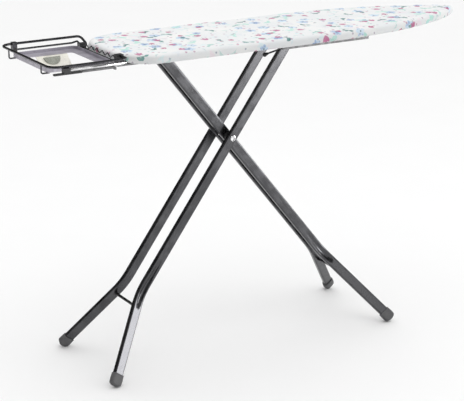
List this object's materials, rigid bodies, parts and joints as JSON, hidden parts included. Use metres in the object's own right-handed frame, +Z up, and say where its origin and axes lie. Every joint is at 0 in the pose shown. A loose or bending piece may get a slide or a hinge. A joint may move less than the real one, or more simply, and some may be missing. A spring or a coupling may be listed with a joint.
{
  "type": "folding ironing board",
  "caption": "Folding ironing board with a pointed covered top, crossed splayed rectangular-tube legs, a release lever and a wire iron rest with a framed tray.",
  "frame": {"origin": "on the floor, under the middle of the bounding box", "axes": "+X runs along the board from the iron rest to the pointed nose, +Y to the far side, +Z up"},
  "size_m": [1.45, 0.3662, 0.9364],
  "materials": {
    "cover": "white printed cotton with a scattered flower and leaf print",
    "felt": "off-white needle felt",
    "frame_steel": "satin grey powder coat",
    "leg_gunmetal": "semi-gloss gunmetal",
    "dark_wire": "glossy dark gunmetal",
    "bright_steel": "bright plated steel",
    "tray_sheet": "satin pale lilac grey",
    "cream_plate": "satin cream",
    "grey_pad": "matt grey silicone",
    "grey_rubber": "matt dark grey",
    "black_plastic": "satin black"
  },
  "bodies": {
    "board": {"cover": "cover", "underlay_pad": "felt", "mesh_top": "frame_steel", "rim_frame": "frame_steel", "cross_strut_tail": "frame_steel", "cross_strut_hinge": "frame_steel", "cross_strut_rack_tail": "frame_steel", "cross_strut_rack_nose": "frame_steel", "cross_strut_nose": "frame_steel", "slide_rail_near": "frame_steel", "slide_rail_far": "frame_steel", "height_rack": "frame_steel", "hinge_bracket_near": "frame_steel", "hinge_bracket_far": "frame_steel", "hinge_pin": "bright_steel", "rest_rail": "dark_wire", "rest_guard_wire": "dark_wire", "rest_lattice": "dark_wire", "rest_tray": "tray_sheet", "rest_hook_near": "dark_wire", "rest_hook_far": "dark_wire", "heel_plate": "cream_plate", "heel_pad": "grey_pad", "rest_clamp_far": "dark_wire", "rest_clamp_near": "black_plastic", "rest_tube_near": "bright_steel", "rest_runner": "black_plastic", "rest_end_block_near": "black_plastic", "rest_end_block_far": "black_plastic", "rest_strap_near": "frame_steel", "rest_strap_far": "frame_steel", "rest_arm_near": "bright_steel", "rest_end_bar": "dark_wire", "rest_slide_bar": "frame_steel"},
    "inner_leg": {"inner_leg_tube_near": "leg_gunmetal", "inner_foot_near": "grey_rubber", "inner_leg_plug_near": "black_plastic", "inner_leg_tube_far": "leg_gunmetal", "inner_foot_far": "grey_rubber", "inner_leg_plug_far": "black_plastic", "inner_leg_crossbar": "dark_wire", "hinge_sleeve": "dark_wire"},
    "outer_leg": {"outer_leg_tube_near": "leg_gunmetal", "outer_foot_near": "grey_rubber", "outer_leg_plug_near": "black_plastic", "outer_leg_tube_far": "leg_gunmetal", "outer_foot_far": "grey_rubber", "outer_leg_plug_far": "black_plastic", "outer_leg_crossbar": "dark_wire", "pivot_rivet_near": "bright_steel", "pivot_rivet_far": "bright_steel", "pivot_spacer_near": "black_plastic", "pivot_spacer_far": "black_plastic", "slide_rod": "bright_steel", "slide_glide_near": "black_plastic", "slide_glide_far": "black_plastic"},
    "lever": {"latch_pawl": "frame_steel", "release_lever": "dark_wire", "lever_knob": "black_plastic", "lever_spring": "bright_steel"}
  },
  "joints": [
    {"name": "leg_fold", "type": "hinge", "parent": "board", "child": "inner_leg", "pos_m": [-0.31319, 0, 0.886], "axis": [0, -1, 0], "range_deg": [0, 47]},
    {"name": "scissor_pivot", "type": "hinge", "parent": "inner_leg", "child": "outer_leg", "pos_m": [-0.1085, 0, 0.6326], "axis": [0, 1, 0], "range_deg": [0, 97.01]},
    {"name": "release_lever_turn", "type": "hinge", "parent": "outer_leg", "child": "lever", "pos_m": [0.076, 0, 0.886], "axis": [0, 1, 0], "range_deg": [-14, 0], "stiffness_Nm_per_rad": 0.15, "springref_deg": 28.65}
  ],
  "couplings": [
    {"joint": "scissor_pivot", "follows": "leg_fold", "ratio": 2.0577}
  ]
}
